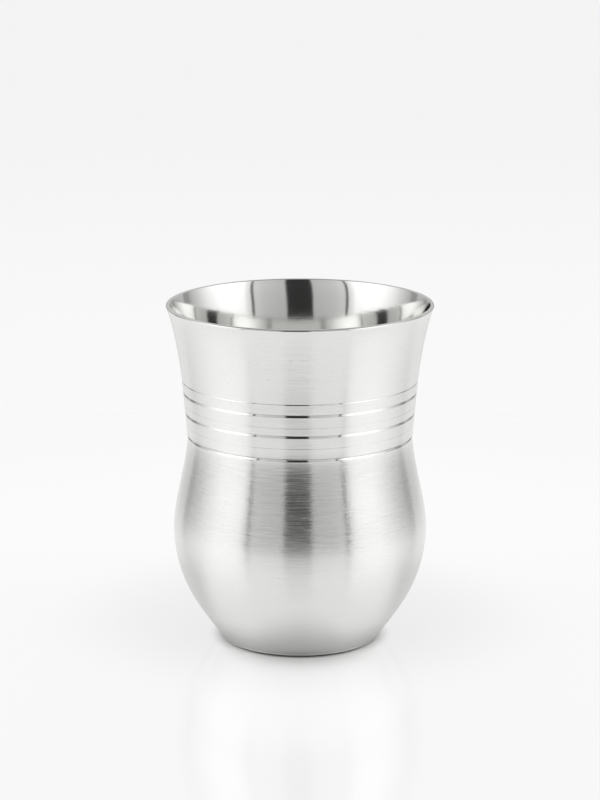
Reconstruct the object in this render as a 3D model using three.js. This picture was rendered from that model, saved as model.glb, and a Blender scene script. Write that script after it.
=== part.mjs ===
// A nickel silver tumbler: a flared neck with turned bands, a round belly, and a base let into the foot.
// Millimetres, +Z up, with the origin in the middle of the foot's underside.

import * as THREE from "three";

// Outside of the tumbler
const HEIGHT = 90; // foot to lip
const RIM_RADIUS = 35;
const WAIST_RADIUS = 29.6; // at the seam, where the neck stands on the belly
const WAIST_HEIGHT = 54.7;
const BELLY_RADIUS = 33.45; // the widest ring
const BELLY_HEIGHT = 30.2;
const FOOT_RADIUS = 21.2;
const FOOT_BAND = 0.8; // the foot's upright edge

// How the outline leans, in degrees from upright, and how far each lean carries into its curve
const FOOT_LEAN = 32;
const FOOT_PULL = 6.7;
const BELLY_PULL_DOWN = 15.6;
const BELLY_PULL_UP = 6.9;
const WAIST_LEAN = 0.5;
const WAIST_PULL = 6.5;
const BAND_LEAN = 5.2;
const FLARE_PULL = 3;
const LIP_LEAN = 25;
const LIP_PULL = 4.5;

// Sheet, edges and seams
const WALL = 1.1;
const FOOT_ROUND = 0.65; // radius of the foot's lower edge
const LIP_ROUND = 0.5; // radius of the lip's outer edge
const LIP_BREAK = 0.2; // on the lip's inner edge
const HEEL = { height: 1.6, rise: 0.07 }; // the neck swells a little towards the seam
const LAP = 2.8; // how far the belly's collar reaches up inside the neck
const SEAM_GAP = 0.1; // room for solder between the sheets
const BEAD_GAP = 0.05; // from a solder bead to the sheets that it joins
const WAIST_BEAD = 0.5; // height of the bead on top of the collar
const BASE_BEAD = 0.7; // height and width of the bead round the base
const BASE_THICKNESS = 1.1;
const BASE_RECESS = 1; // the base's underside above the table

// Turned lines round the neck, from the seam up: each one's rise above the line below it
const FINE_LINE = { height: 0.2, depth: 0.05, facet: 0.12 };
const SCRIBED_LINE = { height: 0.28, depth: 0.11, facet: 0.2 };
const GROOVE = { height: 0.7, depth: 0.3, facet: 0.55 };
const TURNED_LINES = [
  { rise: 3.4, cut: FINE_LINE },
  { rise: 2.85, cut: GROOVE },
  { rise: 2.6, cut: FINE_LINE },
  { rise: 2.9, cut: GROOVE },
  { rise: 3.3, cut: SCRIBED_LINE },
];

// Facets round the axis, and steps along each curve
const FACETS = 64;
const OUTER_STEPS = 11;
const INNER_STEPS = 8;
const FLARE_STEPS = 8;
const HEEL_STEPS = 2;
const LIP_STEPS = 4;
const FOOT_STEPS = 3;
const BEAD_STEPS = 3;

const satin = new THREE.MeshStandardMaterial({ color: 0xcfcdc6, metalness: 1, roughness: 0.34 });
const polished = new THREE.MeshStandardMaterial({ color: 0xd6d4cd, metalness: 1, roughness: 0.08 });
const solder = new THREE.MeshStandardMaterial({ color: 0xdcdcd8, metalness: 1, roughness: 0.25 });

// A point of an outline: its radius and its height
const at = (radius, height) => new THREE.Vector2(radius, height);

const lean = (degrees) => {
  const angle = THREE.MathUtils.degToRad(degrees);
  return at(Math.sin(angle), Math.cos(angle));
};

const along = (start, direction, distance) => start.clone().addScaledVector(direction, distance);

// Points round a centre, between two directions in degrees up from the outward level
function arc(centre, radius, start, end, steps) {
  return Array.from({ length: steps + 1 }, (_, i) => {
    const angle = THREE.MathUtils.degToRad(start + ((end - start) * i) / steps);
    return along(centre, at(Math.cos(angle), Math.sin(angle)), radius);
  });
}

// The belly's outside from the foot to the seam, as two curves that are upright at the widest ring
function bellyOutline(steps) {
  const foot = at(FOOT_RADIUS, FOOT_BAND);
  const widest = at(BELLY_RADIUS, BELLY_HEIGHT);
  const seam = at(WAIST_RADIUS, WAIST_HEIGHT);
  const lower = new THREE.CubicBezierCurve(
    foot,
    along(foot, lean(FOOT_LEAN), FOOT_PULL),
    along(widest, lean(0), -BELLY_PULL_DOWN),
    widest,
  );
  const upper = new THREE.CubicBezierCurve(
    widest,
    along(widest, lean(0), BELLY_PULL_UP),
    along(seam, lean(-WAIST_LEAN), -WAIST_PULL),
    seam,
  );
  return [...lower.getPoints(steps), ...upper.getPoints(steps).slice(1)];
}

// The neck's outside: a slightly flared band, then the flare up to the rounded lip
const lineRises = TURNED_LINES.reduce((total, line) => total + line.rise, 0);
const bandTop = WAIST_HEIGHT + lineRises + SCRIBED_LINE.height;
const bandRadius = (height) =>
  WAIST_RADIUS + (height - WAIST_HEIGHT) * Math.tan(THREE.MathUtils.degToRad(BAND_LEAN));

// The lip's outer edge, which goes on from the flare and ends on the flat top
const lipOutline = (steps) =>
  arc(at(RIM_RADIUS - LIP_ROUND, HEIGHT - LIP_ROUND), LIP_ROUND, -LIP_LEAN, 90, steps);

function flareOutline(steps) {
  const band = at(bandRadius(bandTop), bandTop);
  const [lip] = lipOutline(1);
  return new THREE.CubicBezierCurve(
    band,
    along(band, lean(BAND_LEAN), FLARE_PULL),
    along(lip, lean(LIP_LEAN), -LIP_PULL),
    lip,
  ).getPoints(steps);
}

// The inside of a sheet whose outside is given from the bottom up
function insideOf(outline) {
  return outline.map((point, i) => {
    const before = outline[Math.max(i - 1, 0)];
    const after = outline[Math.min(i + 1, outline.length - 1)];
    const run = after.clone().sub(before).normalize();
    return along(point, at(-run.y, run.x), WALL);
  });
}

// The radius of an outline at a height; past its ends it runs on straight
function radiusAt(outline, height) {
  const above = outline.findIndex((point) => point.y > height);
  const i = above < 0 ? outline.length - 1 : Math.max(above, 1);
  const [low, high] = [outline[i - 1], outline[i]];
  return low.x + ((height - low.y) * (high.x - low.x)) / (high.y - low.y);
}

const on = (outline, height, offset = 0) => at(radiusAt(outline, height) + offset, height);
const between = (outline, low, high) => outline.filter((point) => point.y > low && point.y < high);

// Turns a closed outline about the axis into a named piece
function turned(name, outline, material) {
  const geometry = new THREE.LatheGeometry(outline, FACETS);
  geometry.rotateX(Math.PI / 2);
  const mesh = new THREE.Mesh(geometry, material);
  mesh.name = name;
  return mesh;
}

const closed = (outline) => [...outline, outline[0].clone()];

const bellyInside = insideOf(bellyOutline(INNER_STEPS));
const neckSmooth = [at(WAIST_RADIUS, WAIST_HEIGHT), ...flareOutline(FLARE_STEPS)];
const neckInside = insideOf(neckSmooth);

// The seam: the neck's skirt stands on the belly's seat, round the collar
const seatHeight = WAIST_HEIGHT + GROOVE.facet;
const collarTop = seatHeight + LAP;
const collarInside = WAIST_RADIUS - WALL;
const collarOutside = WAIST_RADIUS - WALL / 2 - SEAM_GAP / 2;
const skirtInside = collarOutside + SEAM_GAP;
const grooveRadius = WAIST_RADIUS - GROOVE.depth;

// The belly, with the foot that the tumbler stands on, the waist groove's bright facet and the collar
function bellyShell() {
  return turned(
    "belly_shell",
    closed([
      on(bellyInside, 0),
      ...arc(at(FOOT_RADIUS - FOOT_ROUND, FOOT_ROUND), FOOT_ROUND, -90, 0, FOOT_STEPS),
      ...bellyOutline(OUTER_STEPS),
      at(grooveRadius, seatHeight),
      at(collarOutside, seatHeight),
      at(collarOutside, collarTop),
      at(collarInside, collarTop),
      ...between(bellyInside, 0, WAIST_HEIGHT).reverse(),
    ]),
    satin,
  );
}

// One turned line, whose taller lower facet looks up
function turnedLine({ height, depth, facet }, bottom) {
  return [
    at(bandRadius(bottom), bottom),
    at(bandRadius(bottom + facet) - depth, bottom + facet),
    at(bandRadius(bottom + height), bottom + height),
  ];
}

// The neck: a skirt at the seam, its heel, the turned lines, the flare and the lip
function neckSleeve() {
  const skirtBottom = seatHeight + SEAM_GAP;
  const skirtEdge = skirtBottom + GROOVE.height - GROOVE.facet;
  const heelMiddle = skirtEdge + HEEL.height / 2;
  const heelTop = skirtEdge + HEEL.height;
  const heel = new THREE.QuadraticBezierCurve(
    at(bandRadius(skirtEdge) + HEEL.rise, skirtEdge),
    at(bandRadius(heelMiddle), heelMiddle),
    at(bandRadius(heelTop), heelTop),
  );
  const stepHeight = collarTop + SEAM_GAP;
  let height = WAIST_HEIGHT;
  const lines = TURNED_LINES.flatMap(({ rise, cut }) => {
    height += rise;
    return turnedLine(cut, height);
  });
  return turned(
    "neck_sleeve",
    closed([
      at(skirtInside, skirtBottom),
      at(grooveRadius, skirtBottom),
      ...heel.getPoints(HEEL_STEPS),
      ...lines,
      ...flareOutline(FLARE_STEPS).slice(1),
      ...lipOutline(LIP_STEPS).slice(1),
      on(neckInside, HEIGHT, LIP_BREAK),
      on(neckInside, HEIGHT - LIP_BREAK),
      ...between(neckInside, stepHeight, HEIGHT - LIP_BREAK).reverse(),
      on(neckInside, stepHeight),
      at(skirtInside, stepHeight),
    ]),
    satin,
  );
}

// The base: a disc whose slanted edge sits in the belly's wall like a plug
const baseTop = BASE_RECESS + BASE_THICKNESS;

function baseDisc() {
  return turned(
    "base_disc",
    [
      at(0, BASE_RECESS),
      on(bellyInside, BASE_RECESS, -SEAM_GAP),
      on(bellyInside, baseTop, -SEAM_GAP),
      at(0, baseTop),
    ],
    polished,
  );
}

// A solder bead in the corner between a wall and the ledge under it, with a hollow face
function bead(name, wall, ledge, width, height) {
  const bottom = ledge + BEAD_GAP;
  const corner = on(wall, bottom, -BEAD_GAP);
  const top = on(wall, bottom + height, -BEAD_GAP);
  const toe = at(corner.x - width, bottom);
  const middle = toe.clone().lerp(top, 0.5).lerp(corner, 0.5);
  const face = new THREE.QuadraticBezierCurve(top, middle, toe).getPoints(BEAD_STEPS);
  return turned(name, closed([corner, ...face]), solder);
}

const waistBeadWidth = radiusAt(neckInside, collarTop) - BEAD_GAP - collarInside;

const tumbler = new THREE.Group();
tumbler.add(
  bellyShell(),
  neckSleeve(),
  baseDisc(),
  bead("waist_solder", neckInside, collarTop, waistBeadWidth, WAIST_BEAD),
  bead("base_solder", bellyInside, baseTop, BASE_BEAD, BASE_BEAD),
);

export default tumbler;
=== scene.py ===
# A nickel silver tumbler on a white table: satin outside, bright inside, with lines round the neck.
# Outlines are in millimetres, as (radius, height) from the middle of the foot's underside, +Z up.

import math

import bmesh
import bpy
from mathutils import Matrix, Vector


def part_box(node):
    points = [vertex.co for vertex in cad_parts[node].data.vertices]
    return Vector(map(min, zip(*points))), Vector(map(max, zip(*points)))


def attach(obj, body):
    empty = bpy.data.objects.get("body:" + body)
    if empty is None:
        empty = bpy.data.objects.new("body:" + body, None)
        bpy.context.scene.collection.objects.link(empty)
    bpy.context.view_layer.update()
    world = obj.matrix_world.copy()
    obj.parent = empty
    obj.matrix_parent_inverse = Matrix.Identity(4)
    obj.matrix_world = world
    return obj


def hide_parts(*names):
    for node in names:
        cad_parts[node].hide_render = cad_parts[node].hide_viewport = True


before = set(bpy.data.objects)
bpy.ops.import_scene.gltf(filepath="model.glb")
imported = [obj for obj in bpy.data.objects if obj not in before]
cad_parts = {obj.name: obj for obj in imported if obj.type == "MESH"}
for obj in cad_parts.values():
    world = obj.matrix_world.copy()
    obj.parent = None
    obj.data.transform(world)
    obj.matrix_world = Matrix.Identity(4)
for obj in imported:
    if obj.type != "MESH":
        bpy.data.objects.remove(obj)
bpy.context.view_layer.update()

MM = 0.001


def reach(node):
    """The outside radius, the underside and the top of a solid in the frame, in millimetres."""
    low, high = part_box(node)
    return high.x / MM, low.z / MM, high.z / MM


# Outside of the tumbler
RIM_RADIUS, SKIRT_BOTTOM, HEIGHT = reach("neck_sleeve")
BELLY_RADIUS, _, COLLAR_TOP = reach("belly_shell")
_, BASE_BOTTOM, BASE_TOP = reach("base_disc")
WAIST_RADIUS = 29.6
WAIST_HEIGHT = 54.7
BELLY_HEIGHT = 30.2
FOOT_RADIUS = 21.2
FOOT_BAND = 0.8

# How the outline leans, in degrees from upright, and how far each lean carries into its curve
FOOT_LEAN = 32
FOOT_PULL = 6.7
BELLY_PULL_DOWN = 15.6
BELLY_PULL_UP = 6.9
WAIST_LEAN = 0.5
WAIST_PULL = 6.5
BAND_LEAN = 5.2
FLARE_PULL = 3
LIP_LEAN = 25
LIP_PULL = 4.5

# Sheet, edges and seam
WALL = 1.1
FOOT_ROUND = 0.72  # how high the foot's lower edge is rounded
FOOT_DRAW = 1.4  # how far in that rounding reaches
FOOT_CORNER = 0.14  # where the belly's slope turns into the foot
LIP_ROUND = 0.5  # how far in the lip's outer edge is rounded
LIP_DROP = 0.46  # and how far down
LIP_BREAK = 0.24  # on the lip's inner edge
SEAM_GAP = 0.1
BEAD_GAP = 0.05
WAIST_BEAD = 0.5
BASE_BEAD = 0.7
EDGE_BREAK = 0.045  # where a turned line meets the band
EDGE_SHARE = 0.3  # but at most this share of the line's lower facet
SHALLOW_SHARE = 0.5  # and less again on the upper edge of a scratch
HEEL_HEIGHT = 1.6  # the neck swells a little towards the seam over this height
HEEL_RISE = 0.07

# Where a curve begins again beside a rounded corner
PAST_CORNER = 1.15  # in sizes of the corner's rounding
PAST_FOOT = FOOT_CORNER * 1.2
PAST_LINE = EDGE_BREAK * 2
PAST_LIP = LIP_BREAK * 1.3
ASIDE = 1  # the surface beside an edge gets its direction from this far away

# Finishes, as they are numbered in each piece
SATIN, BRIGHT = 0, 1

# Turned lines, as (height, depth, lower facet, finish): a scratch, a bright scribed line, a groove
SCRATCH = (0.18, 0.026, 0.11, SATIN)
SCRIBED_LINE = (0.28, 0.11, 0.2, BRIGHT)
GROOVE = (0.7, 0.3, 0.55, BRIGHT)

# Where they run round the neck, from the seam up: each one's rise above the line below it
TURNED_LINES = [(3.4, SCRATCH), (2.85, GROOVE), (2.6, SCRATCH), (2.9, GROOVE), (3.3, SCRIBED_LINE)]

# Fineness of the turned surfaces
AROUND = 320
CURVE_STEPS = 56
ROUND_STEPS = 6
BEAD_STEPS = 8
SHARP_TURN = math.radians(24)


def at(radius, height):
    return Vector((radius, height))


def lean(degrees):
    angle = math.radians(degrees)
    return Vector((math.sin(angle), math.cos(angle)))


def curve(controls, steps):
    """Points from the first control to the last, on a curve that the ones between pull towards them."""

    def spot(share):
        row = controls
        while len(row) > 1:
            row = [a.lerp(b, share) for a, b in zip(row, row[1:])]
        return row[0]

    return [spot(i / steps) for i in range(steps + 1)]


def eased(before, corner, after, size):
    """A corner rounded off over this size, with a point just past each end that keeps the flats flat."""
    back = (before - corner).normalized() * size
    ahead = (after - corner).normalized() * size
    bend = curve([corner + back, corner, corner + ahead], ROUND_STEPS)
    return [corner + back * PAST_CORNER, *bend, corner + ahead * PAST_CORNER]


def arc(centre, wide, high, start, end):
    """An edge rounded in an oval from one direction to another, in degrees up from the outward level."""
    angles = [math.radians(start + (end - start) * i / ROUND_STEPS) for i in range(ROUND_STEPS + 1)]
    return [centre + at(math.cos(angle) * wide, math.sin(angle) * high) for angle in angles]


def belly_outline():
    foot = at(FOOT_RADIUS, FOOT_BAND)
    widest = at(BELLY_RADIUS, BELLY_HEIGHT)
    seam = at(WAIST_RADIUS, WAIST_HEIGHT)
    lower = [foot, foot + lean(FOOT_LEAN) * FOOT_PULL, widest - lean(0) * BELLY_PULL_DOWN, widest]
    upper = [widest, widest + lean(0) * BELLY_PULL_UP, seam - lean(-WAIST_LEAN) * WAIST_PULL, seam]
    return curve(lower, CURVE_STEPS) + curve(upper, CURVE_STEPS)[1:]


BAND_TOP = WAIST_HEIGHT + sum(rise for rise, cut in TURNED_LINES) + SCRIBED_LINE[0]


def on_band(height):
    """A point of the neck's band, which leans out from the waist up to the flare."""
    return at(WAIST_RADIUS + (height - WAIST_HEIGHT) * math.tan(math.radians(BAND_LEAN)), height)


def flare_outline():
    """The flare up to where the lip's rounding begins, and that rounding up to the lip's top."""
    band = on_band(BAND_TOP)
    lip = arc(at(RIM_RADIUS - LIP_ROUND, HEIGHT - LIP_DROP), LIP_ROUND, LIP_DROP, -LIP_LEAN, 90)
    controls = [band, band + lean(BAND_LEAN) * FLARE_PULL, lip[0] - lean(LIP_LEAN) * LIP_PULL, lip[0]]
    return curve(controls, CURVE_STEPS), lip


def inside_of(outline):
    """The inside of a sheet whose outside is given from the bottom up."""
    inside = []
    for i, point in enumerate(outline):
        run = (outline[min(i + 1, len(outline) - 1)] - outline[max(i - 1, 0)]).normalized()
        inside.append(point + at(-run.y, run.x) * WALL)
    return inside


def radius_at(outline, height):
    """The radius of an outline at a height; past its ends it runs on straight."""
    above = next((i for i, point in enumerate(outline) if point.y > height), len(outline) - 1)
    low, high = outline[max(above, 1) - 1], outline[max(above, 1)]
    return low.x + (height - low.y) * (high.x - low.x) / (high.y - low.y)


def on(outline, height, offset=0):
    return at(radius_at(outline, height) + offset, height)


def between(outline, low, high):
    return [point for point in outline if low < point.y < high]


def turn(name, runs, body="root"):
    """Turns an outline about the axis. Its runs are (finish, points), each from the last one's end."""
    points = [point for finish, run in runs for point in run]
    finishes = [finish for finish, run in runs for point in run]
    closed = points[0].x > 0 or points[-1].x > 0
    mesh = bmesh.new()
    rings = []
    for point in points:
        if point.x == 0:
            rings.append([mesh.verts.new((0, 0, point.y * MM))] * AROUND)
            continue
        ring = []
        for step in range(AROUND):
            angle = 2 * math.pi * step / AROUND
            spot = (point.x * math.cos(angle), point.x * math.sin(angle), point.y)
            ring.append(mesh.verts.new(Vector(spot) * MM))
        rings.append(ring)
    count = len(points)
    for i in range(count if closed else count - 1):
        near, far = rings[i], rings[(i + 1) % count]
        for step in range(AROUND):
            after = (step + 1) % AROUND
            corners = dict.fromkeys([near[step], near[after], far[after], far[step]])
            face = mesh.faces.new(list(corners))
            face.smooth = True
            face.material_index = finishes[(i + 1) % count]
    for i, point in enumerate(points):
        if not closed and i in (0, count - 1):
            continue
        into = point - points[i - 1]
        out = points[(i + 1) % count] - point
        if into.angle(out) > SHARP_TURN:
            for step in range(AROUND):
                mesh.edges.get((rings[i][step], rings[i][(step + 1) % AROUND])).smooth = False
    bmesh.ops.recalc_face_normals(mesh, faces=mesh.faces)
    data = bpy.data.meshes.new(name)
    mesh.to_mesh(data)
    mesh.free()
    piece = bpy.data.objects.new(name, data)
    bpy.context.scene.collection.objects.link(piece)
    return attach(piece, body)


BELLY_OUTSIDE = belly_outline()
BELLY_INSIDE = inside_of(BELLY_OUTSIDE)
FLARE, LIP = flare_outline()
NECK_INSIDE = inside_of([at(WAIST_RADIUS, WAIST_HEIGHT), *FLARE])

# The seam: the neck's skirt stands on the belly's bright seat, round the collar
SEAT_HEIGHT = WAIST_HEIGHT + GROOVE[2]
COLLAR_INSIDE = WAIST_RADIUS - WALL
COLLAR_OUTSIDE = WAIST_RADIUS - WALL / 2 - SEAM_GAP / 2
SKIRT_INSIDE = COLLAR_OUTSIDE + SEAM_GAP
SKIRT_EDGE = SKIRT_BOTTOM + GROOVE[0] - GROOVE[2]
GROOVE_RADIUS = WAIST_RADIUS - GROOVE[1]


def belly():
    """The belly, from the flat ring that it stands on to the bright seat and the collar."""
    foot = arc(at(FOOT_RADIUS - FOOT_DRAW, FOOT_ROUND), FOOT_DRAW, FOOT_ROUND, -90, 0)
    up_the_slope = BELLY_OUTSIDE[3]
    seam = at(WAIST_RADIUS, WAIST_HEIGHT)
    facet_top = at(GROOVE_RADIUS, SEAT_HEIGHT)
    return turn(
        "belly",
        [
            (BRIGHT, [on(BELLY_INSIDE, 0), foot[0] + at(-EDGE_BREAK, 0)]),
            (BRIGHT, foot),
            (SATIN, eased(at(FOOT_RADIUS, 0), BELLY_OUTSIDE[0], up_the_slope, FOOT_CORNER)[1:]),
            (SATIN, between(BELLY_OUTSIDE, FOOT_BAND + PAST_FOOT, WAIST_HEIGHT - PAST_LINE)),
            (BRIGHT, eased(BELLY_OUTSIDE[-2], seam, facet_top, EDGE_BREAK)),
            (BRIGHT, [facet_top, at(COLLAR_OUTSIDE, SEAT_HEIGHT)]),
            (BRIGHT, [at(COLLAR_OUTSIDE, COLLAR_TOP), at(COLLAR_INSIDE, COLLAR_TOP)]),
            (BRIGHT, between(BELLY_INSIDE, 0, WAIST_HEIGHT)[::-1]),
        ],
    )


def turned_line(cut, bottom):
    """A line cut into the band, whose taller lower facet looks up."""
    height, depth, facet, finish = cut
    top = bottom + height
    root = on_band(bottom + facet) - at(depth, 0)
    edge = min(EDGE_BREAK, facet * EDGE_SHARE)
    edge_above = edge if depth > EDGE_BREAK else edge * SHALLOW_SHARE
    lower_edge = eased(on_band(bottom - ASIDE), on_band(bottom), root, edge)
    upper_edge = eased(root, on_band(top), on_band(top + ASIDE), edge_above)
    return [
        (SATIN, lower_edge[:1]),
        (finish, lower_edge[1:] + [root] + upper_edge[:-1]),
        (SATIN, upper_edge[-1:]),
    ]


def neck():
    """The neck: a skirt at the seam, a band with turned lines, the flare and the rounded lip."""
    step_height = COLLAR_TOP + SEAM_GAP
    heel = curve(
        [
            on_band(SKIRT_EDGE) + at(HEEL_RISE, 0),
            on_band(SKIRT_EDGE + HEEL_HEIGHT / 2),
            on_band(SKIRT_EDGE + HEEL_HEIGHT),
        ],
        ROUND_STEPS,
    )
    lines, height = [], WAIST_HEIGHT
    for rise, cut in TURNED_LINES:
        height += rise
        lines += turned_line(cut, height)
    lip_inside = on(NECK_INSIDE, HEIGHT)
    under_lip = on(NECK_INSIDE, HEIGHT - ASIDE)
    return turn(
        "neck",
        [
            (BRIGHT, [at(SKIRT_INSIDE, SKIRT_BOTTOM), at(GROOVE_RADIUS, SKIRT_BOTTOM)]),
            (BRIGHT, heel[:1]),
            (SATIN, heel[1:]),
            *lines,
            (SATIN, between(FLARE, BAND_TOP + PAST_LINE, HEIGHT)),
            (BRIGHT, LIP[1:]),
            (BRIGHT, eased(at(RIM_RADIUS, HEIGHT), lip_inside, under_lip, LIP_BREAK)),
            (BRIGHT, between(NECK_INSIDE, step_height, HEIGHT - PAST_LIP)[::-1]),
            (BRIGHT, [on(NECK_INSIDE, step_height), at(SKIRT_INSIDE, step_height)]),
        ],
    )


def base():
    """The bottom: a disc whose slanted edge sits in the belly's wall like a plug."""
    low = on(BELLY_INSIDE, BASE_BOTTOM, -SEAM_GAP)
    high = on(BELLY_INSIDE, BASE_TOP, -SEAM_GAP)
    middle_low = at(0, BASE_BOTTOM)
    middle_high = at(0, BASE_TOP)
    return turn(
        "base",
        [
            (SATIN, [middle_low]),
            (SATIN, eased(middle_low, low, high, EDGE_BREAK)),
            (SATIN, eased(low, high, middle_high, EDGE_BREAK)),
            (SATIN, [middle_high]),
        ],
    )


def bead(name, wall, ledge, width, height):
    """A solder bead in the corner between a wall and the ledge under it, with a hollow face."""
    bottom = ledge + BEAD_GAP
    corner = on(wall, bottom, -BEAD_GAP)
    top = on(wall, bottom + height, -BEAD_GAP)
    toe = at(corner.x - width, bottom)
    middle = toe.lerp(top, 0.5).lerp(corner, 0.5)
    return turn(name, [(SATIN, [corner]), (SATIN, curve([top, middle, toe], BEAD_STEPS))])


class Signal:
    """A socket in a shader. Sums on signals add their own Math nodes."""

    def __init__(self, tree, socket=None):
        self.tree = tree
        self.socket = socket

    def node(self, kind, settings=(), inputs=(), output=0):
        """Adds a node: its settings are set first, then the values or links of its sockets."""
        made = self.tree.nodes.new("ShaderNode" + kind)
        for name, value in dict(settings).items():
            if name == "stops":
                ramp = made.color_ramp
                while len(ramp.elements) < len(value):
                    ramp.elements.new(0.5)
                for element, (place, level) in zip(ramp.elements, value):
                    element.position = place
                    element.color = (level, level, level, 1)
            elif name == "interpolation":
                made.color_ramp.interpolation = value
            else:
                setattr(made, name, value)
        for name, value in dict(inputs).items():
            if isinstance(value, Signal):
                self.tree.links.new(value.socket, made.inputs[name])
            else:
                made.inputs[name].default_value = value
        return Signal(self.tree, made.outputs[output]) if len(made.outputs) else made

    def math(self, operation, *values):
        return self.node("Math", {"operation": operation}, dict(enumerate(values)))

    def __add__(self, other):
        return self.math("ADD", self, other)

    def __radd__(self, other):
        return self.math("ADD", other, self)

    def __sub__(self, other):
        return self.math("SUBTRACT", self, other)

    def __rsub__(self, other):
        return self.math("SUBTRACT", other, self)

    def __mul__(self, other):
        return self.math("MULTIPLY", self, other)

    def __rmul__(self, other):
        return self.math("MULTIPLY", other, self)

    def __neg__(self):
        return self.math("MULTIPLY", self, -1)

    def __truediv__(self, other):
        return self.math("DIVIDE", self, other)


def new_material(name):
    material = bpy.data.materials.new(name)
    material.use_nodes = True
    material.node_tree.nodes.clear()
    return material, Signal(material.node_tree)


def place_in_mm(shader):
    """Where a spot of the surface is on the tumbler, as x, y and z in millimetres."""
    place = shader.node("TexCoord", output="Object")
    scaled = shader.node("VectorMath", {"operation": "SCALE"}, {0: place, "Scale": 1 / MM})
    return [shader.node("SeparateXYZ", {}, {"Vector": scaled}, axis) for axis in "XYZ"]


def marks(shader, across, length, detail, roughness=0.5, start=0.0):
    """Noise in marks that run round the axis, with their spacing across and their length in mm.

    Marks with another start don't follow the first ones."""
    x, y, z = place_in_mm(shader)
    stretched = shader.node("CombineXYZ", {}, {"X": x / length + start, "Y": y / length, "Z": z / across})
    inputs = {"Vector": stretched, "Scale": 1.0, "Detail": detail, "Roughness": roughness}
    return shader.node("TexNoise", {}, inputs, "Fac")


def swing(noise):
    """Noise about nought instead of about a half."""
    return noise - 0.5


def tinted(shader, level, amount, colour):
    """A metal's colour that is a little lighter or darker with the level, which is about a half."""
    dark = [c * (1 - amount) for c in colour]
    light = [min(1, c * (1 + amount)) for c in colour]
    sockets = {0: level, 6: (*dark, 1), 7: (*light, 1)}
    return shader.node("Mix", {"data_type": "RGBA"}, sockets, 2)


def bumped(shader, height, depth, normal=None):
    """The normal over marks that stand this deep, in metres, on the plain surface or another normal."""
    inputs = {"Strength": 1.0, "Distance": depth, "Height": height}
    if normal:
        inputs["Normal"] = normal
    return shader.node("Bump", {}, inputs)


def leaning(shader, amount):
    """The surface's normal, leaning round the axis by this amount for each millimetre of radius."""
    straight = shader.node("NewGeometry", output="Normal")
    x, y, _ = place_in_mm(shader)
    tangent = shader.node("CombineXYZ", {}, {"X": y * -amount, "Y": x * amount, "Z": 0.0})
    total = shader.node("VectorMath", {"operation": "ADD"}, {0: straight, 1: tangent})
    return shader.node("VectorMath", {"operation": "NORMALIZE"}, {0: total})


QUARTER_TURN = 0.25  # turns the brushed sheen round the axis


def metal(shader, colour, roughness, normal, brushed):
    inputs = {
        "Base Color": colour,
        "Metallic": 1.0,
        "Roughness": roughness,
        "Anisotropic": brushed,
        "Anisotropic Rotation": QUARTER_TURN,
        "Normal": normal,
    }
    surface = shader.node("BsdfPrincipled", {}, inputs)
    shader.node("OutputMaterial", {}, {"Surface": surface})


NICKEL_SILVER = (0.835, 0.838, 0.818)
SOLDER_SILVER = (0.87, 0.87, 0.855)

# The satin's brushed lines, as (across, length, detail, roughness, start)
BRUSHED_LINES = (0.17, 7, 2, 0.7)
LINE_BREAKS = (0.6, 2.0, 1)  # where the lines come and go
BROAD_LINES = (1.6, 9, 1)
SLANTED_LINES = (0.3, 2.4, 1, 0.5, 17.0)
BREAK_GAIN, BREAK_LOSS = 2.8, 0.3  # how strongly the lines come and go
FINE_SHARE, BROAD_SHARE = 0.6, 0.4
SATIN_DEPTH = 0.000020
SATIN_ROUGHNESS = 0.207
ROUGHER_BY_LINE, ROUGHER_BY_BAND = 0.24, 0.03
SATIN_TINT = 0.07
SATIN_LEAN = 0.0012  # how much a slanted line leans to a side, for each millimetre of radius


def satin_outside():
    """Fine brushed lines round the axis: they spread a reflection up and down, and hardly sideways."""
    material, shader = new_material("satin_nickel_silver")
    breaks = marks(shader, *LINE_BREAKS) * BREAK_GAIN - BREAK_LOSS
    fine = swing(marks(shader, *BRUSHED_LINES)) * breaks + 0.5
    broad = marks(shader, *BROAD_LINES)
    slant = leaning(shader, swing(marks(shader, *SLANTED_LINES)) * SATIN_LEAN)
    normal = bumped(shader, fine * FINE_SHARE + broad * BROAD_SHARE, SATIN_DEPTH, slant)
    rougher = swing(fine) * ROUGHER_BY_LINE + swing(broad) * ROUGHER_BY_BAND
    metal(shader, tinted(shader, fine, SATIN_TINT, NICKEL_SILVER), rougher + SATIN_ROUGHNESS, normal, 1.0)
    return material


# The inside's marks, as (across, length, detail), and how much of each the bumps have
WAVES, WAVE_SHARE = (2.5, 2.5, 1), 1.2
TOOL_RINGS, RING_SHARE = (0.45, 6, 1), 0.5
HAIRLINES, HAIRLINE_SHARE = (0.18, 5, 2), 0.1
BRIGHT_DEPTH = 0.000005
BRIGHT_ROUGHNESS, BRIGHT_ROUGHER = 0.07, 0.05
BRIGHT_TINT = 0.02
BRIGHT_BRUSHED = 0.5
BRIGHT_LEAN = 0.00056  # which puts the mirror images inside a little to the left


def bright_inside():
    """Polished, with the faint waviness that the lathe left."""
    material, shader = new_material("polished_nickel_silver")
    waves = marks(shader, *WAVES) * WAVE_SHARE
    rings = marks(shader, *TOOL_RINGS) * RING_SHARE
    fine = marks(shader, *HAIRLINES)
    height = waves + rings + fine * HAIRLINE_SHARE
    normal = bumped(shader, height, BRIGHT_DEPTH, leaning(shader, BRIGHT_LEAN))
    roughness = BRIGHT_ROUGHNESS + fine * BRIGHT_ROUGHER
    metal(shader, tinted(shader, fine, BRIGHT_TINT, NICKEL_SILVER), roughness, normal, BRIGHT_BRUSHED)
    return material


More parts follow.
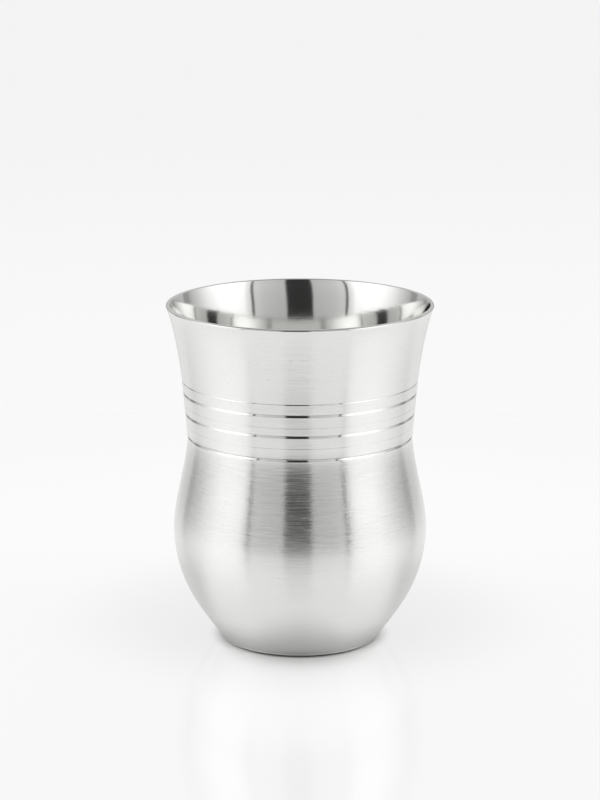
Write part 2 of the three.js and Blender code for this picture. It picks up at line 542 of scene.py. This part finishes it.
BASE_RING_SPACING, BASE_RING_LENGTH = 0.3, 25  # millimetres
BASE_RING_DETAIL = 2
BASE_DEPTH = 0.000003
BASE_ROUGHNESS, BASE_ROUGHER = 0.14, 0.1
BASE_TINT = 0.04
BASE_BRUSHED = 0.8


def turned_base():
    """The base, with the rings that the turning tool left round its middle."""
    material, shader = new_material("turned_nickel_silver")
    x, y, _ = place_in_mm(shader)
    radius = shader.math("SQRT", x * x + y * y)
    place = {"X": x / BASE_RING_LENGTH, "Y": y / BASE_RING_LENGTH, "Z": radius / BASE_RING_SPACING}
    stretched = shader.node("CombineXYZ", {}, place)
    inputs = {"Vector": stretched, "Scale": 1.0, "Detail": BASE_RING_DETAIL}
    rings = shader.node("TexNoise", {}, inputs, "Fac")
    normal = bumped(shader, rings, BASE_DEPTH)
    roughness = BASE_ROUGHNESS + rings * BASE_ROUGHER
    metal(shader, tinted(shader, rings, BASE_TINT, NICKEL_SILVER), roughness, normal, BASE_BRUSHED)
    return material


SOLDER_FLOW = (0.8, 2.5, 2)
SOLDER_DEPTH = 0.00002
SOLDER_ROUGHNESS, SOLDER_ROUGHER = 0.18, 0.16
SOLDER_TINT = 0.05


def solder():
    """Silver solder: whiter, smooth and a little uneven where it flowed."""
    material, shader = new_material("silver_solder")
    flow = marks(shader, *SOLDER_FLOW)
    normal = bumped(shader, flow, SOLDER_DEPTH)
    roughness = SOLDER_ROUGHNESS + flow * SOLDER_ROUGHER
    metal(shader, tinted(shader, flow, SOLDER_TINT, SOLDER_SILVER), roughness, normal, 0.0)
    return material


def finish_piece(piece, node, materials):
    for material in materials:
        piece.data.materials.append(material)
    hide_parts(node)


def tumbler():
    satin, bright, silver = satin_outside(), bright_inside(), solder()
    bead_width = radius_at(NECK_INSIDE, COLLAR_TOP) - BEAD_GAP - COLLAR_INSIDE
    waist_bead = bead("waist_bead", NECK_INSIDE, COLLAR_TOP, bead_width, WAIST_BEAD)
    base_bead = bead("base_bead", BELLY_INSIDE, BASE_TOP, BASE_BEAD, BASE_BEAD)
    finish_piece(belly(), "belly_shell", [satin, bright])
    finish_piece(neck(), "neck_sleeve", [satin, bright])
    finish_piece(base(), "base_disc", [turned_base()])
    finish_piece(waist_bead, "waist_solder", [silver])
    finish_piece(base_bead, "base_solder", [silver])


# The studio as the metal mirrors it: degrees round from the camera, and how bright the room is there
DARK, BACKDROP = 0.032, 0.58
GAP_EDGE = 12.6  # the dark room round the camera
GREY_BY_GAP = 0.495  # the wall beside it
GREY = [(20, 0.51), (34, 0.57)]
FRAME = (45.0, 47.7)  # the softboxes' frames
WALL_BY_FRAME, FRAME_LEVEL = 0.68, 0.09
SOFTBOX_RIM = (0.8, 0.85)  # the softboxes are dimmer up to the rim's end
SOFTBOX_RIM_END = 51.5
SOFTBOX = [(55, 1.15), (66, 1.27), (80, 1.27), (96, 1.0), (107, 0.74), (117, 0.56), (121, 0.46)]
SIDE_GAP = (122.5, 131.5)
SIDE_GAP_LEVEL = 0.35
EDGE_SOFTNESS = 0.8

# How the studio changes with height, from 0 at the horizon to 1 overhead
TURN_LOW, TURN_HIGH = -2.3, -0.6  # it stands a little to the left, less so higher up
TURN_ENDS = (0.20, 0.55)
WALLS_LOW, WALLS_HIGH = 0.87, 1.12  # its walls get lighter up to here
WALLS_TOP = 0.42
SKIRT_LEVEL, SKIRT_TOP = 0.66, 0.10  # and are darker just above the table's edge
CEILING = 0.32
CEILING_ENDS = (0.70, 0.80)
PAPER = 0.88  # the white that the camera sees behind the table


def studio_stops():
    """The ramp's stops, as a share of the half turn from the camera round to the back."""
    edge = EDGE_SOFTNESS
    spans = [
        (0, DARK),
        (GAP_EDGE - edge, DARK),
        (GAP_EDGE + edge, GREY_BY_GAP),
        *GREY,
        (FRAME[0] - edge, WALL_BY_FRAME),
        (FRAME[0], FRAME_LEVEL),
        (FRAME[1] - edge, FRAME_LEVEL),
        (FRAME[1], SOFTBOX_RIM[0]),
        (SOFTBOX_RIM_END - edge, SOFTBOX_RIM[1]),
        *SOFTBOX,
        (SIDE_GAP[0], SIDE_GAP_LEVEL),
        (SIDE_GAP[1] - edge, SIDE_GAP_LEVEL),
        (SIDE_GAP[1] + edge, BACKDROP),
    ]
    return [(degrees / 180, level) for degrees, level in spans]


def ramp(shader, value, ends, low, high, kind="LINEAR"):
    """Goes from low to high while the value goes from one end to the other."""
    sockets = {"Value": value, 1: ends[0], 2: ends[1], 3: low, 4: high}
    return shader.node("MapRange", {"interpolation_type": kind}, sockets)


def studio_world():
    world = bpy.data.worlds.new("studio")
    bpy.context.scene.world = world
    world.use_nodes = True
    world.node_tree.nodes.clear()
    shader = Signal(world.node_tree)
    direction = shader.node("TexCoord", output="Generated")
    x, y, z = [shader.node("SeparateXYZ", {}, {"Vector": direction}, axis) for axis in "XYZ"]
    studio_turn = ramp(shader, z, TURN_ENDS, math.radians(TURN_LOW), math.radians(TURN_HIGH))
    round_from_camera = shader.math("ARCTAN2", x, -y) - studio_turn
    share = shader.math("ABSOLUTE", round_from_camera) / math.pi
    walls = shader.node("ValToRGB", {"interpolation": "LINEAR", "stops": studio_stops()}, {"Fac": share})
    lift = ramp(shader, z, (0.0, WALLS_TOP), WALLS_LOW, WALLS_HIGH)
    skirt = ramp(shader, z, (0.0, SKIRT_TOP), SKIRT_LEVEL, 1.0)
    lifted = shader.node("VectorMath", {"operation": "SCALE"}, {0: walls, "Scale": lift * skirt})
    overhead = ramp(shader, z, CEILING_ENDS, 0.0, 1.0, "SMOOTHSTEP")
    ceiling = (CEILING, CEILING, CEILING, 1)
    room = shader.node("Mix", {"data_type": "RGBA"}, {0: overhead, 6: lifted, 7: ceiling}, 2)
    seen = shader.node("LightPath", output="Is Camera Ray")
    paper = (PAPER, PAPER, PAPER, 1)
    colour = shader.node("Mix", {"data_type": "RGBA"}, {0: seen, 6: room, 7: paper}, 2)
    background = shader.node("Background", {}, {"Color": colour, "Strength": 1.0})
    shader.node("OutputWorld", {}, {"Surface": background})


LAMP_LEVEL = 0.5  # what the overhead lamp adds to a white table's brightness
LAMP_SPREAD = 100  # degrees


def overhead_lamp():
    """A wide soft lamp over the table. The metal doesn't mirror it."""
    data = bpy.data.lights.new("overhead_lamp", "SUN")
    data.energy = LAMP_LEVEL * math.pi
    data.angle = math.radians(LAMP_SPREAD)
    lamp = bpy.data.objects.new("overhead_lamp", data)
    lamp.visible_glossy = False
    bpy.context.scene.collection.objects.link(lamp)


# The table. Places and distances on it are in metres, from the middle of the foot
TABLE_RADIUS = 6.0
TABLE_EDGES = 96
TABLE_WHITE = 0.95
TABLE_SHEEN = 1.32  # how strongly the smooth table mirrors the studio at a low angle
TABLE_VARNISH = 1.46  # and once more in the metal, where less of its white shows
TABLE_ROUGHNESS = 0.09
FAR_ROUGHNESS = 0.5  # how much rougher it looks to the camera far away, as a plain background
FAR_ROUGHNESS_ENDS = (0.16, 0.40)
CONTACT_SHADOW_LEVEL = 0.28  # a painted contact shadow: the table's white is darker under the foot
CONTACT_SHADOW_MIDDLE = (0, -0.003, 0)
CONTACT_SHADOW_ENDS = (0.0170, 0.0195)

# The table's glow, which stands in for light that the tumbler would keep off it, but for a small shade
GLOW_SHARE = 0.85  # how much of the lamp's light it stands in for
SHADE_MIDDLE = (0, -0.008, 0)  # the shade that it leaves lies in front of the foot

# The glow as the camera sees it, by the tumbler and away from it: it is lower by the tumbler, a broad
# painted shade round it. Sides squeeze its outline sideways
SEEN_NEAR, SEEN_AWAY = 0.78, 0.86
SEEN_MIDDLE = (0, 0.015, 0)
SEEN_STEP = (0.03, 0.075)
SEEN_SHADE = (0.0145, 0.029)
SEEN_SHADE_SIDES = 1.25
SEEN_FOOT = (0.0208, 0.0245)
SEEN_FADE = (0.09, 0.25)
SEEN_FAR = 0.45  # how much of it is left far away
SEEN_DROP = 0.13  # and how much dimmer it gets in the distance
SEEN_DROP_ENDS = (0.18, 1.1)

# The glow as the metal mirrors it
MIRRORED = 0.94
MIRRORED_SHADE = (0.0145, 0.034)
MIRRORED_SHADE_SIDES = 1.6
MIRRORED_FOOT = (0.0205, 0.030)
MIRRORED_MIDDLE = (0, 0.05, 0)
MIRRORED_FADE = (0.115, 0.29)
MIRRORED_FADE_SIDES = 0.8
BEHIND_LEVEL = 0.74  # how much of it is left behind the tumbler: a painted shade there, which only the metal mirrors
BEHIND_STEP = (-0.019, 0.003)
BEHIND_FADE = (0.06, 0.10)
MIRRORED_WHITE = 0.84  # and how white the table is in the metal near the tumbler: a painted shade there, which only the metal mirrors
MIRRORED_WHITE_ENDS = (0.05, 0.10)


def table():
    """A smooth white table that goes on to the horizon. Its glow keeps the tumbler's shade small."""
    material, shader = new_material("white_table")
    place = shader.node("TexCoord", output="Object")
    depth = shader.node("SeparateXYZ", {}, {"Vector": place}, "Y")

    def distance(middle, spot=place):
        return shader.node("VectorMath", {"operation": "DISTANCE"}, {0: spot, 1: middle}, "Value")

    def squeezed(sides):
        return shader.node("VectorMath", {"operation": "MULTIPLY"}, {0: place, 1: (sides, 1, 1)})

    def ease(value, ends, low, high):
        return ramp(shader, value, ends, low, high, "SMOOTHSTEP")

    def clear_of_shade(sides, ends):
        return ease(distance(SHADE_MIDDLE, squeezed(sides)), ends, 0.0, GLOW_SHARE)

    away = distance((0, 0, 0))
    looked_at = shader.node("LightPath", output="Is Camera Ray")
    seen = looked_at * clear_of_shade(SEEN_SHADE_SIDES, SEEN_SHADE) * ease(away, SEEN_FOOT, 0.0, 1.0)
    seen = seen * ease(away, SEEN_FADE, 1.0, SEEN_FAR)
    # a lower glow by the tumbler: a broad painted shade round it
    seen_level = ease(distance(SEEN_MIDDLE), SEEN_STEP, SEEN_NEAR, SEEN_AWAY)
    seen_level = seen_level - ease(away, SEEN_DROP_ENDS, 0.0, SEEN_DROP)

    in_metal = shader.node("LightPath", output="Is Glossy Ray")
    fade = ease(distance(MIRRORED_MIDDLE, squeezed(MIRRORED_FADE_SIDES)), MIRRORED_FADE, 1.0, 0.0)
    mirrored = in_metal * clear_of_shade(MIRRORED_SHADE_SIDES, MIRRORED_SHADE)
    mirrored = mirrored * ease(away, MIRRORED_FOOT, 0.0, 1.0) * fade
    # the glow is lower behind the tumbler: a painted shade that only the metal mirrors
    behind = ease(depth, BEHIND_STEP, 0.0, 1.0) * ease(away, BEHIND_FADE, 1.0, 0.0)
    mirrored_level = MIRRORED - behind * (MIRRORED * (1 - BEHIND_LEVEL))

    # the table's white, with a painted contact shadow under the foot
    under = ease(distance(CONTACT_SHADOW_MIDDLE), CONTACT_SHADOW_ENDS, TABLE_WHITE * CONTACT_SHADOW_LEVEL, TABLE_WHITE)
    # a painted shade on the table near the tumbler, which only the metal mirrors
    painted_shade_in_metal = in_metal * ease(away, MIRRORED_WHITE_ENDS, 1 - MIRRORED_WHITE, 0.0)
    white = under * (1 - painted_shade_in_metal) * (1 - seen - mirrored)
    glow = seen * seen_level + mirrored * mirrored_level
    white_colour, glow_colour = [
        shader.node("CombineColor", {}, dict.fromkeys(["Red", "Green", "Blue"], level))
        for level in (white, glow)
    ]
    inputs = {
        "Base Color": white_colour,
        "Roughness": looked_at * ease(away, FAR_ROUGHNESS_ENDS, 0.0, FAR_ROUGHNESS) + TABLE_ROUGHNESS,
        "IOR": TABLE_SHEEN,
        "Coat Weight": in_metal,
        "Coat Roughness": TABLE_ROUGHNESS,
        "Coat IOR": TABLE_VARNISH,
        "Emission Color": glow_colour,
        "Emission Strength": 1.0,
    }
    surface = shader.node("BsdfPrincipled", {}, inputs)
    shader.node("OutputMaterial", {}, {"Surface": surface})
    mesh = bmesh.new()
    bmesh.ops.create_circle(mesh, cap_ends=True, segments=TABLE_EDGES, radius=TABLE_RADIUS)
    data = bpy.data.meshes.new("table")
    mesh.to_mesh(data)
    mesh.free()
    data.materials.append(material)
    top = bpy.data.objects.new("table", data)
    bpy.context.scene.collection.objects.link(top)


# The camera: in front of the axis, looking a little down. Metres, degrees and millimetres of film
CAMERA_DISTANCE = 0.700
CAMERA_HEIGHT = 0.2284
CAMERA_DIP = 13.217
SENSOR = 36
PICTURE_HEIGHT = 800  # pixels
FOCAL_PIXELS = 2734


def camera():
    data = bpy.data.cameras.new("camera")
    data.sensor_width = SENSOR
    data.lens = SENSOR * FOCAL_PIXELS / PICTURE_HEIGHT
    eye = bpy.data.objects.new("camera", data)
    eye.location = (0, -CAMERA_DISTANCE, CAMERA_HEIGHT)
    eye.rotation_euler = (math.radians(90 - CAMERA_DIP), 0, 0)
    bpy.context.scene.collection.objects.link(eye)
    bpy.context.scene.camera = eye


tumbler()
studio_world()
overhead_lamp()
table()
camera()
bpy.context.scene.view_settings.view_transform = "Standard"
